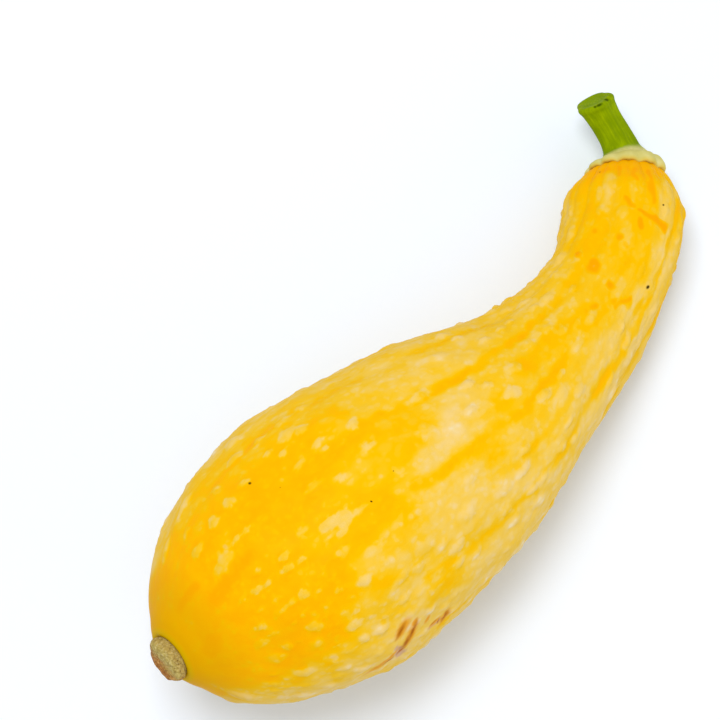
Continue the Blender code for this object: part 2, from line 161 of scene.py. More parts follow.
# Golden skin spreads from both ends over the top, as (distance along in mm, right edge, left edge) in
# degrees round the axis. Past the rows' ends, a place counts as PAST_GOLD degrees farther out. The border
# is soft and strays by (degrees, pattern in mm).
BLOSSOM_GOLD = [
    (0, -90, 270), (6, -2, 185), (12, 12, 156), (20, 24, 146), (30, 32, 140), (37, 50, 138), (45, 60, 137),
    (52, 64, 136), (58, 68, 130), (64, 76, 126), (70, 86, 118), (75, 92, 104), (79, 96, 96), (92, 126, 66),
]
NECK_GOLD = [
    (126, 122, 62), (138, 92, 92), (145, 82, 104), (155, 74, 118), (163, 70, 130), (172, 68, 145),
    (185, 66, 146), (195, 50, 160), (204, 0, 200),
]
GOLD_EDGE = 21.0
PAST_GOLD = 90.0
GOLD_WANDER = ((13.0, (9.0, 9.0, 13.0)), (12.0, (3.5, 3.5, 5.0)))

# A stroke on the skin runs from (along, around) to (along, around), in mm and degrees, and then has its
# half width in mm and its strength. In the grooves between the pale ribs the skin is golden.
GOLDEN_GROOVES = [
    (60, 42, 180, 42, 1.5, 0.55), (132, 42, 142, 42, 2.0, 0.9), (148, 42, 162, 42, 1.8, 0.9),
    (70, 78, 152, 78, 1.5, 0.85), (84, 78, 100, 78, 2.2, 0.75), (60, 111, 150, 112, 1.5, 1.0),
    (18, 138, 80, 138, 1.7, 0.9), (98, 138, 122, 138, 1.3, 0.6), (96, 60, 126, 60, 1.2, 0.5),
    (116, 94, 142, 94, 2.4, 0.7), (90, 170, 160, 170, 1.2, 0.6), (60, 8, 170, 8, 1.3, 0.6),
]
GOLDEN_GROOVES += [(60, groove, 165, groove, 1.3, 0.6) for groove in GROOVES if groove > 200]
GOLDEN_PATCHES = [
    (137, 39.5, 153, 38, 1.3, 0.8), (153, 38, 169, 41, 1.0, 0.9), (169, 41, 176, 43.5, 0.9, 1.0),
    (176, 43.5, 190, 34.5, 0.9, 1.0), (60, 36, 66, 36, 3.2, 0.55), (156, 58, 156, 68, 1.1, 0.8),
    (118, 95, 150, 95, 5.0, 0.25), (104, 84, 110, 86, 3.0, 0.35), (92, 66, 97, 68, 2.0, 0.5),
    (120, 116, 150, 124, 3.0, 0.25),
]

# On the neck, soft pale streaks run along the crests between its grooves
NECK_CREST_PALE = 0.58
NECK_LEAST_PALE = 0.32
NECK_CREST_FROM, NECK_CREST_TO = (125.0 * MM, 150.0 * MM), (190.0 * MM, 198.0 * MM)
NECK_CREST_EDGE = (0.15, 0.6)
NECK_CREST_BREAK_MM = (5.0, 5.0, 16.0)
NECK_CREST_BREAK = (-0.4, 0.3)
NECK_CREST_UNBROKEN = 0.5

# Broad changes of tone, as (along, around, reach along, reach around, change). The ridge on top is the
# palest, and the left side and the sides of the grooves are yellower.
BROAD_TONES = [
    (87.5, 91, 18, 13, 0.2), (87.8, 88.5, 4.5, 6, 0.3), (95, 150, 60, 30, -0.22), (152, 145, 28, 28, -0.3),
    (95, 60, 45, 13, -0.16), (150, 52, 30, 12, 0.12), (115, 72, 16, 9, -0.4), (108, 88, 10, 9, -0.45),
    (133, 85, 7, 12, -0.4), (83, 102, 8, 8, -0.25), (112, 102, 8, 8, -0.35), (85, 112, 10, 14, -0.35),
    (52, 134, 9, 10, -0.5), (75, 134, 12, 10, -0.2), (25, 150, 10, 12, -0.5), (50, 150, 12, 12, -0.25),
    (60, 57, 10, 9, -0.3), (45, 40, 8, 10, -0.3), (74, 40, 7, 9, -0.4), (188, 20, 12, 25, -0.5),
    (62, 73, 7, 8, -0.4), (160, 160, 20, 15, -0.2), (172, 8, 18, 18, -0.4),
]

# Pale patches, and blotches of deeper orange. The orange in the creases at the shoulder is painted shade,
# which deepens the grooves between the ribs.
PALE_PATCHES = [
    (140, 102, 158, 103, 4.0, 0.55), (158, 72, 172, 74, 3.0, 0.5), (160, 88, 172, 88, 3.0, 0.45),
    (56, 97, 72, 96, 5.5, 0.42), (40, 84, 52, 84, 3.0, 0.3), (188, 104, 195, 105, 1.0, 0.4),
    (186, 72, 194, 73, 1.0, 0.4), (180, 52, 192, 56, 2.0, 0.6),
    (181, 114, 194, 116, 1.7, 0.72), (183, 89, 191, 90, 1.2, 0.55), (168, 79, 175, 79, 1.8, 0.4),
    (160, 78, 166, 78, 1.5, 0.3), (164, 123, 171, 123, 1.2, 0.35), (173, 115, 178, 115, 1.3, 0.35),
    (169, 94, 179, 94, 1.8, 0.3), (178, 137, 190, 133, 1.8, 0.5), (12, 158, 30, 152, 2.2, 0.5),
    (150, 112, 160, 114, 1.6, 0.3), (148, 100, 156, 101, 1.4, 0.3),
]
ORANGE_BLOTCHES = [
    (162, 122, 162.5, 122, 1.2, 0.8), (172, 118, 172, 118, 1.0, 0.6), (159.3, 104, 160.7, 104, 1.8, 1.0),
    (172, 95, 172, 95, 1.0, 0.7), (148, 86, 148, 86, 1.0, 0.6), (157, 85, 157.4, 85, 1.2, 0.7),
    (177.7, 78, 178.3, 78, 1.2, 0.9), (154, 73, 154, 73, 1.0, 0.6), (185, 97, 183.5, 86, 0.8, 0.7),
    (182, 80, 181, 62, 0.8, 1.0), (181, 62, 180, 52, 1.2, 1.0), (153, 70, 157, 60, 0.8, 0.6),
    (170, 88, 170, 88, 0.9, 0.4), (166, 83, 166, 83, 0.9, 0.4), (192, 73, 192, 73, 0.9, 0.5),
    (194, 105, 197, 105, 0.9, 0.6), (192, 86, 197, 87, 0.8, 0.5), (186, 70, 197, 72, 0.8, 0.6),
    (4, 60, 5, 72, 1.6, 0.4), (5, 118, 9, 112, 1.5, 0.4), (10, 95, 22, 98, 2.6, 0.35),
    (128, 51, 128, 51, 0.9, 0.4), (145, 88, 145, 88, 0.9, 0.4), (196, 127, 197.5, 119, 0.8, 0.5),
]
# Painted shade: how strong the orange painted into the shoulder's creases is, and where it starts
PAINTED_CREASE_SHADE = 0.12
PAINTED_CREASE_SHADE_FROM = (176.0 * MM, 192.0 * MM)
PAINTED_CREASE_SHADE_EDGE = (0.45, 1.0)

# Two dry scabs near the table on the right, where the skin had cracked while it grew
SCABS = [
    (45.4, 21, 47.4, 13, 1.2, 1.0), (57, 16, 59.5, 16, 1.1, 0.8), (61, 12, 62.3, 17, 0.8, 0.7),
]
SCAB_DENT = 0.35 * MM

# The strokes have soft edges that wander, and the golden grooves fade here and there
STROKE_EDGE = (0.2, 1.7)
STROKE_WANDER = 1.3
STROKE_WANDER_MM = 4.0
GROOVE_BREAK_MM = (6.0, 6.0, 11.0)
GROOVE_BREAK = (-0.35, 0.15)
GROOVE_UNBROKEN = 0.45


def eased(value, start, end):
    """0 before start, 1 past end, and a smooth rise between."""
    t = np.clip((value - start) / (end - start), 0.0, 1.0)
    return t * t * (3.0 - 2.0 * t)


def curve_through(points, count):
    """A smooth curve through the points, read at equal steps of its length."""
    p = np.array(points, float)
    p = np.vstack([2.0 * p[0] - p[1], p, 2.0 * p[-1] - p[-2]])
    t = np.linspace(0.0, 1.0, CURVE_STEPS, endpoint=False)[:, None]
    pieces = []
    for before, start, end, after in zip(p, p[1:], p[2:], p[3:]):
        reach = [np.linalg.norm(b - a) for a, b in ((before, start), (start, end), (end, after))]
        leave = ((start - before) / reach[0] * reach[1] + (end - start) / reach[1] * reach[0])
        leave *= reach[1] / (reach[0] + reach[1])
        arrive = ((end - start) / reach[1] * reach[2] + (after - end) / reach[2] * reach[1])
        arrive *= reach[1] / (reach[1] + reach[2])
        pieces.append(
            (2 * t**3 - 3 * t**2 + 1) * start + (t**3 - 2 * t**2 + t) * leave
            + (3 * t**2 - 2 * t**3) * end + (t**3 - t**2) * arrive
        )
    curve = np.vstack(pieces + [p[-2:-1]])
    length = np.r_[0.0, np.cumsum(np.linalg.norm(np.diff(curve, axis=0), axis=1))]
    steps = np.linspace(0.0, length[-1], count)
    return np.stack([np.interp(steps, length, column) for column in curve.T], axis=1)


def bent_axis():
    """The axis as distances, points, and the directions to the right of it and above it."""
    along = np.arange(-AXIS_SPARE, FRUIT_LENGTH + STEM_LENGTH + AXIS_SPARE, AXIS_STEP)
    past_fruit = along - FRUIT_LENGTH
    turn = NECK_TURN * eased(along, *NECK_BEND) + STEM_TURN * eased(past_fruit, *STEM_BEND)
    slope = -BULB_SLOPE * np.cos(np.radians(turn))
    slope -= BLOSSOM_LIFT * (1.0 - eased(along, 0.0, BLOSSOM_LIFT_END))
    slope += STEM_RISE * eased(past_fruit, STEM_RISE_FROM, STEM_LENGTH)
    turn, slope = np.radians(turn), np.radians(slope)
    ahead = np.stack([np.cos(slope) * np.cos(turn), np.cos(slope) * np.sin(turn), np.sin(slope)], axis=1)
    right = np.stack([np.sin(turn), -np.cos(turn), 0.0 * turn], axis=1)
    points = np.cumsum(ahead * AXIS_STEP, axis=0)
    points += AXIS_START - points[np.searchsorted(along, 0.0)]
    for middle, reach, shift in SWAYS_MM:
        points += right * (shift * MM * np.exp(-((along / MM - middle) / reach) ** 2))[:, None]
    return along, points, right, np.cross(right, ahead)


AXIS = bent_axis()


def place(along, out, around):
    """Points at a distance along the axis, out from it and at an angle round it."""
    centre, right, above = (
        np.stack([np.interp(along, AXIS[0], column) for column in table.T], axis=-1) for table in AXIS[1:]
    )
    angle = np.radians(around)[..., None]
    return centre + (np.cos(angle) * right + np.sin(angle) * above) * np.asarray(out)[..., None]


def rib_wander(along):
    """How far the ribs stray round the fruit, in degrees."""
    return RIB_WANDER * np.cos(2.0 * np.pi * (along - RIB_WANDER_CREST) / RIB_WANDER_LENGTH)


def in_groove(along, around):
    """1 in a groove between ribs and 0 on a crest; then the same for the groove that halves a neck rib."""
    edges = np.array(GROOVES + (GROOVES[0] + 360,))
    rib = np.interp((around - rib_wander(along) - edges[0]) % 360.0, edges - edges[0], range(len(edges)))
    sharpness = GROOVE_SHARPNESS + NECK_SOFTNESS * eased(along, *NECK_SOFT_FROM)
    groove = 1.0 - np.abs(np.sin(np.pi * rib)) ** sharpness
    mid_rib = 1.0 - np.abs(np.cos(np.pi * rib)) ** sharpness
    return groove, eased(along, *MID_RIB_FROM) * mid_rib


def groove_depth(along, around):
    """How far the skin lies below the ribs' crests."""
    stations, depths = np.array(GROOVE_DEPTH_MM).T * MM
    groove, mid_rib = in_groove(along, around)
    return (groove + MID_RIB_SHARE * mid_rib) * np.interp(along, stations, depths)


def swell(along, around):
    """The broad, low unevenness of the whole fruit."""
    angle = np.radians(around)
    first, second = (2.0 * np.pi * along / length for length in SWELL_LENGTHS)
    fade = eased(along, 0.0, SWELL_START) * (1.0 - eased(along, *SWELL_FADE))
    return SWELL_HEIGHT * fade * (np.sin(first + 2.0 * angle + SWELL_PHASE) + np.sin(second - 3.0 * angle))


def wart_chance(along, around):
    """How likely a small wart is at a place: the golden top and left of the bulb have few."""
    on_top = eased(around, *GOLDEN_RIGHT_EDGE) * (1.0 - eased(around, *GOLDEN_LEFT_EDGE))
    on_bulb = 1.0 - eased(along, *GOLDEN_END)
    near_blossom = 1.0 - eased(along, *BLOSSOM_END)
    return MOST_WARTS - FEWER_ON_TOP * on_top * on_bulb - FEWER_AT_BLOSSOM * near_blossom * (1.0 - on_top)


def beside(around, side, radius):
    """How far places are round the axis from one of its sides, in the radius's own unit."""
    return np.radians((around - side + 180.0) % 360.0 - 180.0) * radius


def radius_at(along):
    """The skin's plain radius at a distance along the axis."""
    section = np.array(SKIN_SECTION_MM[SEAT_ROWS:]) * MM
    return np.interp(along, section[:, 0], section[:, 1])


def all_warts():
    """The noted warts, then the strewn ones: place, half length, half width, height and outline waves."""
    draw = random.Random(WART_SEED)

    def waves():
        return [draw.uniform(0.0, 2.0 * np.pi) for _ in WART_OUTLINE_WAVES]

    warts = [
        (along * MM, around, length * MM / 2, width * MM / 2, height * MM, waves())
        for along, around, length, width, height in NOTED_WARTS
    ]
    for tries, ends, sides, lengths, heights, spacing, fewer_on_top in STREWN_WARTS:
        for _ in range(tries):
            along, around = draw.uniform(*ends), draw.uniform(*sides)
            half = draw.uniform(*lengths) / 2
            half_width = half * draw.uniform(*WART_WIDTH_SHARE)
            wart = (along, around, half, half_width, draw.uniform(*heights), waves())
            radius = radius_at(along)
            if fewer_on_top and draw.random() > wart_chance(along, around) * radius / radius_at(WIDEST):
                continue
            apart = (
                np.hypot(along - other[0], beside(around, other[1], radius)) > spacing * (half + other[2])
                for other in warts
            )
            if all(apart):
                warts.append(wart)
    return warts


WARTS = all_warts()


def wart_height(along, around, radius):
    """How far the warts raise the skin, and how pale they make it."""
    height, tint = np.zeros_like(along), np.zeros_like(along)
    for wart_along, wart_around, half, half_width, top, waves in WARTS:
        ahead = along - wart_along
        near = np.abs(ahead) < 2.0 * half
        ahead, aside = ahead[near], beside(around[near], wart_around, radius[near])
        angle = np.arctan2(aside, ahead)
        reach = 1.0 + sum(
            size * np.sin(count * angle + wave) for (count, size), wave in zip(WART_OUTLINE_WAVES, waves)
        )
        inside = 1.0 - np.hypot(ahead / half, aside / half_width) / reach
        height[near] = np.maximum(height[near], top * eased(inside, 0.0, WART_SHOULDER))
        tinted = np.hypot(ahead / half / WART_TINT_STRETCH, aside / half_width * WART_TINT_STRETCH)
        inside = 1.0 - tinted / reach
        tint[near] = np.maximum(tint[near], top / WART_TINT_FULL_HEIGHT * eased(inside, *WART_TINT))
    beneath = 1.0 - eased(np.abs(around - UNDERNEATH) / UNDERNEATH_HALF_WIDTH, *UNDERNEATH_EASE)
    return height * WART_STAND * (1.0 - (1.0 - UNDERNEATH_HEIGHT_SHARE) * beneath), tint


def section_with_normals(points_mm, count):
    """A section's distances and radii, and the directions in which its surface faces."""
    section = curve_through(points_mm, count) * MM
    step = np.gradient(section, axis=0)
    step /= np.linalg.norm(step, axis=1)[:, None]
    return section[:, 0], section[:, 1], -step[:, 1], step[:, 0]


def straight_body(name, rings_mm, sides, levels):
    """A closed round body on the Z axis: a disc pulled up ring by ring to each distance and radius in mm."""
    bpy.ops.object.select_all(action="DESELECT")
    (start, first), *rest = rings_mm
    bpy.ops.mesh.primitive_circle_add(
        vertices=sides, radius=first * MM, fill_type="NGON", location=(0.0, 0.0, start * MM)
    )
    body = bpy.context.object
    body.name = body.data.name = name
    bpy.ops.object.mode_set(mode="EDIT")
    for along, radius in rest:
        bpy.ops.mesh.extrude_region_move(TRANSFORM_OT_translate={"value": (0.0, 0.0, (along - start) * MM)})
        grow = radius / first
        bpy.ops.transform.resize(value=(grow, grow, 1.0), center_override=(0.0, 0.0, along * MM))
        start, first = along, radius
    bpy.ops.mesh.select_all(action="SELECT")
    bpy.ops.mesh.normals_make_consistent(inside=False)
    bpy.ops.object.mode_set(mode="OBJECT")
    bpy.ops.object.transform_apply(location=True, rotation=True, scale=True)
    smoother = body.modifiers.new("Smoother", "SUBSURF")
    smoother.levels = smoother.render_levels = levels
    bpy.ops.object.modifier_apply(modifier=smoother.name)
    return body


def rings_along(section_mm, widest_gap):
    """Rings through the section's points, with more of them where two points are far apart."""
    rings = [section_mm[0]]
    for before, after in zip(section_mm, section_mm[1:]):
        count = int(np.ceil(np.hypot(after[0] - before[0], after[1] - before[1]) / widest_gap))
        rings += [
            tuple(np.add(before, (np.subtract(after, before)) * step / count)) for step in range(1, count + 1)
        ]
    return rings


def vertices_of(piece):
    """A piece's vertices, as one row each."""
    found = np.empty(len(piece.data.vertices) * 3)
    piece.data.vertices.foreach_get("co", found)
    return found.reshape(-1, 3)


def along_section(piece, table):
    """Each vertex of a straight body as its share of the section and its angle round the axis."""
    points = vertices_of(piece)
    out = np.hypot(points[:, 0], points[:, 1])
    around = np.degrees(np.arctan2(points[:, 1], points[:, 0])) % 360.0
    tree = kdtree.KDTree(len(table))
    for index, (along, radius) in enumerate(table):
        tree.insert((along, radius, 0.0), index)
    tree.balance()
    nearest = np.array([tree.find((z, r, 0.0))[1] for z, r in zip(points[:, 2], out)])
    ahead = np.gradient(table, axis=0)[nearest]
    off = np.stack([points[:, 2], out], axis=1) - table[nearest]
    step = np.clip((off * ahead).sum(axis=1) / (ahead**2).sum(axis=1), -0.5, 0.5)
    return np.clip((nearest + step) / (len(table) - 1), 0.0, 1.0), around


def bent(piece, points):
    """Moves a straight body's vertices to the bent axis, and turns its faces, now mirrored, back out."""
    piece.data.vertices.foreach_set("co", points.ravel())
    piece.data.flip_normals()
    piece.data.shade_smooth()


def straight_places(along, out, around):
    """Where places were on the straight body, in mm, for the patterns."""
    angle = np.radians(around)
    return np.stack([out * np.cos(angle), out * np.sin(angle), along], axis=1) / MM


def keep_on(piece, name, values):
    """Stores a number or a vector for each vertex, for the material to read."""
    kind = "FLOAT" if values.ndim == 1 else "FLOAT_VECTOR"
    stored = piece.data.attributes.new(name, kind, "POINT")
    stored.data.foreach_set("value" if values.ndim == 1 else "vector", values.ravel())


def noise_at(points_mm, size_mm, shift):
    """Smooth noise of about -1 to 1 with lumps of size_mm. Another shift gives another noise."""
    return np.array([noise.noise(Vector(p)) for p in points_mm / np.array(size_mm) + shift])


def seed_gap_at(points_mm, size_mm, shift):
    """How much farther the second nearest of scattered seeds is than the nearest, in cells."""
    found = (noise.voronoi(Vector(p))[0] for p in points_mm / np.array(size_mm) + shift)
    return np.array([distances[1] - distances[0] for distances in found])


def golden_at(along, around, wander):
    """1 on golden skin and 0 on pale skin."""
    golden = np.zeros_like(along)
    level = (around + 90.0) % 360.0 - 90.0
    for edges in (BLOSSOM_GOLD, NECK_GOLD):
        stations, right, left = np.array(edges, float).T
        from_right = level - np.interp(along, stations, right)
        to_left = np.interp(along, stations, left) - level
        inside = np.minimum(from_right, to_left) + wander
        inside -= PAST_GOLD * ((along < stations[0]) & (stations[0] > 0.0))
        inside -= PAST_GOLD * ((along > stations[-1]) & (edges is BLOSSOM_GOLD))
        golden = np.maximum(golden, eased(inside, -GOLD_EDGE, GOLD_EDGE))
    return golden


def brushed(strokes, along, around, radius):
    """How strongly strokes mark the skin at each place, with distances in mm."""
    mark = np.zeros_like(along)
    for start, start_around, end, end_around, half_width, strength in strokes:
        middle = (start_around + end_around) / 2.0
        first, last = (np.radians(side - middle) * radius for side in (start_around, end_around))
        ahead, aside = along - start, beside(around, middle, radius) - first
        run, rise = end - start, last - first
        step = np.clip((ahead * run + aside * rise) / np.maximum(run**2 + rise**2, 1e-6), 0.0, 1.0)
        gap = np.hypot(ahead - step * run, aside - step * rise)
        mark = np.maximum(mark, strength * (1.0 - eased(gap / half_width, *STROKE_EDGE)))
    return mark


SKIN_SHARES = np.linspace(0.0, 1.0, SKIN_STEPS)
SKIN_TABLE = section_with_normals(SKIN_SECTION_MM, SKIN_STEPS)

fruit_rings = rings_along(SKIN_SECTION_MM[1:-1], SKIN_RING_GAP)
fruit = straight_body("squash_fruit", fruit_rings, SKIN_SIDES, SKIN_LEVELS)
share, around = along_section(fruit, np.stack(SKIN_TABLE[:2], axis=1))
along, radius, face_along, face_out = (np.interp(share, SKIN_SHARES, column) for column in SKIN_TABLE)
straight_mm = straight_places(along, radius, around)
along_mm, radius_mm = along / MM, np.maximum(radius / MM, 1.0)

wander = sum(reach * noise_at(straight_mm, size, 3.7) for reach, size in GOLD_WANDER)
golden = golden_at(along_mm, around, wander)
stray_along = along_mm + STROKE_WANDER * noise_at(straight_mm, STROKE_WANDER_MM, 8.3)
stray_beside = STROKE_WANDER * noise_at(straight_mm, STROKE_WANDER_MM, 1.9) / radius_mm
stray_around = around + np.degrees(stray_beside)
in_ribs = stray_around - rib_wander(along)
pale = 1.0 - golden
unbroken = eased(noise_at(straight_mm, GROOVE_BREAK_MM, 9.2), *GROOVE_BREAK)
unbroken = GROOVE_UNBROKEN + (1.0 - GROOVE_UNBROKEN) * unbroken
pale *= 1.0 - unbroken * brushed(GOLDEN_GROOVES, stray_along, in_ribs, radius_mm)
pale *= 1.0 - brushed(GOLDEN_PATCHES, stray_along, stray_around, radius_mm)
on_neck = eased(along, *NECK_CREST_FROM) * (1.0 - eased(along, *NECK_CREST_TO))
crest = 1.0 - eased(sum(in_groove(along, around + np.degrees(stray_beside))), *NECK_CREST_EDGE)
unbroken = eased(noise_at(straight_mm, NECK_CREST_BREAK_MM, 4.8), *NECK_CREST_BREAK)
crest *= NECK_CREST_UNBROKEN + (1.0 - NECK_CREST_UNBROKEN) * unbroken
pale = np.maximum(pale, on_neck * np.maximum(NECK_LEAST_PALE, NECK_CREST_PALE * crest))
pale = np.maximum(pale, brushed(PALE_PATCHES, stray_along, stray_around, radius_mm))
for middle, side, reach, side_reach, change in BROAD_TONES:
    apart = ((along_mm - middle) / reach) ** 2 + ((around - side) / side_reach) ** 2
    pale += change * pale * np.exp(-apart)
orange = brushed(ORANGE_BLOTCHES, stray_along, stray_around, radius_mm)
# Painted shade: orange is painted into the grooves at the shoulder, where the creases between the ribs lie in
# shade. The orange attribute holds these along with the real blotches.
crease_for_painted_shade = sum(in_groove(along, around)) * eased(along, *PAINTED_CREASE_SHADE_FROM)
orange = np.maximum(orange, PAINTED_CREASE_SHADE * eased(crease_for_painted_shade, *PAINTED_CREASE_SHADE_EDGE))
scab = brushed(SCABS, stray_along, stray_around, radius_mm)

warts, wart_tint = wart_height(along, around, radius)
pebble = eased(seed_gap_at(straight_mm, PEBBLE_CELL_MM, 11.3), 0.0, PEBBLE_EDGE)
fine = eased(along, *FINE_SKIN_FROM) * (1.0 - eased(along, *FINE_SKIN_TO))
relief = warts * (1.0 - GOLDEN_WART_FLATTER * golden) + swell(along, around)
relief = relief - groove_depth(along, around) - SCAB_DENT * scab
relief += fine * PEBBLE_HEIGHT * pale * (pebble - 0.5)
relief += fine * DIMPLE_HEIGHT * noise_at(straight_mm, DIMPLE_CELL_MM, 5.1)
relief += fine * LUMP_HEIGHT * noise_at(straight_mm, LUMP_CELL_MM, 6.6)
skin = place(along + face_along * relief, np.maximum(radius + face_out * relief, 0.0), around)
skin[:, 2] = np.maximum(skin[:, 2], 0.0)
bent(fruit, skin)

for name, values in (
    ("straight_mm", straight_mm), ("wart", wart_tint), ("pale", pale), ("orange", orange), ("scab", scab),
):
    keep_on(fruit, name, values)


def linear(hex_colour):
    """An sRGB hex colour as linear red, green, blue and alpha."""
    parts = [int(hex_colour[i : i + 2], 16) / 255.0 for i in (1, 3, 5)]
    return tuple(c / 12.92 if c <= 0.04045 else ((c + 0.055) / 1.055) ** 2.4 for c in parts) + (1.0,)


def add(tree, kind, inputs=None, stops=(), **settings):
    """Adds a shader node. Its inputs are values, nodes or sockets, and its stops are a ramp's colours."""
    node = tree.nodes.new("ShaderNode" + kind)
    for name, value in settings.items():
        setattr(node, name, value)
    for socket, value in (inputs or {}).items():
        if isinstance(value, bpy.types.Node):
            value = value.outputs[0]
        if isinstance(value, bpy.types.NodeSocket):
            tree.links.new(value, node.inputs[socket])
        else:
            node.inputs[socket].default_value = value
    for number, (position, colour) in enumerate(stops):
        elements = node.color_ramp.elements
        element = elements[number] if number < len(elements) else elements.new(position)
        element.position, element.color = position, linear(colour)
    return node


def new_material(name):
    """A new material with its node tree and its shader."""
    made = bpy.data.materials.new(name)
    made.use_nodes = True
    return made, made.node_tree, made.node_tree.nodes["Principled BSDF"]


def ovals(tree, place_mm, rows, edge):
    """1 inside any of some ovals on a straight body and 0 outside, with a soft edge. A row is the oval's
    (along, around, radius of the body there, length, width, turn from lengthwise), in mm and degrees."""
    inside = None
    for oval_along, oval_around, body_radius, length, width, turn in rows:
        side = np.radians(oval_around)
        middle = (body_radius * np.cos(side), body_radius * np.sin(side), oval_along)
        local = add(
            tree, "Mapping",
            {"Vector": place_mm, "Location": middle, "Rotation": (np.radians(turn), 0.0, side),
             "Scale": (length, width / 2.0, length / 2.0)},
            vector_type="TEXTURE",
        )
        gap = add(tree, "VectorMath", {0: local}, operation="LENGTH").outputs["Value"]
        here = add(tree, "MapRange", {"Value": gap, "From Min": 1.0 + edge, "From Max": 1.0 - edge})
        inside = here if inside is None else add(tree, "Math", {0: inside, 1: here}, operation="MAXIMUM")
    return inside


# Waxed squash skin. It is golden where it is smooth, and butter yellow on its warts and in soft blotches
# of 2 to 4 mm that run together in clouds, and in streaks along the neck. The wax gives a soft sheen.
STRAY_MM, STRAY_REACH_MM = 3.5, (2.0, 2.0, 2.6)
BLOTCHES_DRAWN_OUT, STREAKS_DRAWN_OUT = (1.0, 1.0, 0.78), (1.0, 1.0, 0.14)
BLOTCH_MM, DOT_MM = 3.6, 1.9
CLOUD_MM, GRAIN_MM, STREAK_MM = 8.0, 0.9, 3.0
CLOUD_MIDDLE = 0.5375
NECK_LOOK_FROM, NECK_LOOK_FULL = 105.0, 165.0

skin_material, tree, shader = new_material("waxed_squash_skin")
place_mm = add(tree, "Attribute", attribute_name="straight_mm").outputs["Vector"]
pale_at, wart_at, orange_and_crease_shade_at, scab_at = (
    add(tree, "Attribute", attribute_name=name) for name in ("pale", "wart", "orange", "scab")
)
along_at = add(tree, "SeparateXYZ", {"Vector": place_mm}).outputs["Z"]
on_neck = add(tree, "MapRange", {"Value": along_at, "From Min": NECK_LOOK_FROM, "From Max": NECK_LOOK_FULL})
jitter = add(tree, "TexNoise", {"Vector": place_mm, "Scale": 1 / STRAY_MM, "Detail": 1.0}).outputs["Color"]
stray = add(tree, "VectorMath", {0: jitter, 1: STRAY_REACH_MM, 2: place_mm}, operation="MULTIPLY_ADD")
stray = add(tree, "VectorMath", {0: stray, 1: BLOTCHES_DRAWN_OUT}, operation="MULTIPLY")
streaky = add(tree, "VectorMath", {0: stray, 1: STREAKS_DRAWN_OUT}, operation="MULTIPLY")
spots = []
for size, edge in ((BLOTCH_MM, 0.6), (DOT_MM, 0.55)):
    cells = add(
        tree, "TexVoronoi", {"Vector": stray, "Scale": 1 / size, "Smoothness": 0.3}, feature="SMOOTH_F1"
    )
    spots.append(add(
        tree, "MapRange", {"Value": cells, "From Min": edge, "From Max": 0.2}, interpolation_type="SMOOTHSTEP"
    ))
blotch, dot = spots
cloud, grain, streaks = (
    add(tree, "TexNoise", {"Vector": where, "Scale": 1 / size, "Detail": detail})
    for where, size, detail in ((stray, CLOUD_MM, 3.0), (stray, GRAIN_MM, 2.0), (streaky, STREAK_MM, 2.0))
)
cloudy = add(tree, "Math", {0: cloud, 1: CLOUD_MIDDLE}, operation="SUBTRACT")

# The mottle is the sum of these, as (pattern, its middle, its share on the bulb, its share on the neck)
mottle = 0.0
for pattern, middle, on_bulb, at_neck in (
    (blotch, 0.5, 0.17, 0.08), (dot, 0.0, 0.12, 0.12), (cloudy, 0.0, 0.8, 0.8), (grain, 0.5, 0.1, 0.1),
    (streaks, 0.5, 0.25, 0.38),
):
    pattern_share = add(tree, "MapRange", {"Value": on_neck, "To Min": on_bulb, "To Max": at_neck})
    about_middle = add(tree, "Math", {0: pattern, 1: middle}, operation="SUBTRACT")
    mottle = add(tree, "Math", {0: about_middle, 1: pattern_share, 2: mottle}, operation="MULTIPLY_ADD")

# A pattern roughens each mark's outline, as (mark, pattern, its share, where the mark starts and is full)
dotted_wart = add(tree, "Math", {0: dot, 1: 0.12, 2: wart_at}, operation="MULTIPLY_ADD")
marks = []
for mark, pattern, roughness, start, full in (
    (dotted_wart, mottle, 0.8, 0.12, 0.85), (orange_and_crease_shade_at, cloudy, 0.64, 0.1, 0.9),
    (scab_at, mottle, 0.9, 0.25, 0.7),
):
    rough = add(tree, "Math", {0: pattern, 1: roughness, 2: mark}, operation="MULTIPLY_ADD")
    marks.append(add(tree, "MapRange", {"Value": rough, "From Min": start, "From Max": full}))
wart_top, orange_blotch_and_crease_shade, dry_scab = marks

# How pale the skin is, and what the mottle and the warts add to that, as (on gold, what pale skin adds)
paleness, mottled_share, wart_share = (
    add(tree, "Math", {0: pale_at, 1: pale_adds, 2: on_gold}, operation="MULTIPLY_ADD")
    for on_gold, pale_adds in ((0.2, 0.5), (0.52, 0.14), (0.36, -0.19))
)
wart_share = add(tree, "Math", {0: on_neck, 1: -0.14, 2: wart_share}, operation="MULTIPLY_ADD")
# The orange mark, which holds the blotches and also the painted shade in the shoulder's creases, makes the
# skin less pale
for part, part_share in ((mottle, mottled_share), (wart_top, wart_share), (orange_blotch_and_crease_shade, -0.55)):
    paleness = add(tree, "Math", {0: part, 1: part_share, 2: paleness}, operation="MULTIPLY_ADD")
colour = add(
    tree, "ValToRGB", {"Fac": paleness},
    stops=[(0.0, "#EEA300"), (0.2, "#EDAC00"), (0.36, "#E8B200"), (0.5, "#E5B724"), (0.68, "#E2BD57"),
           (0.84, "#E1C176"), (1.0, "#E0CC9C")],
)
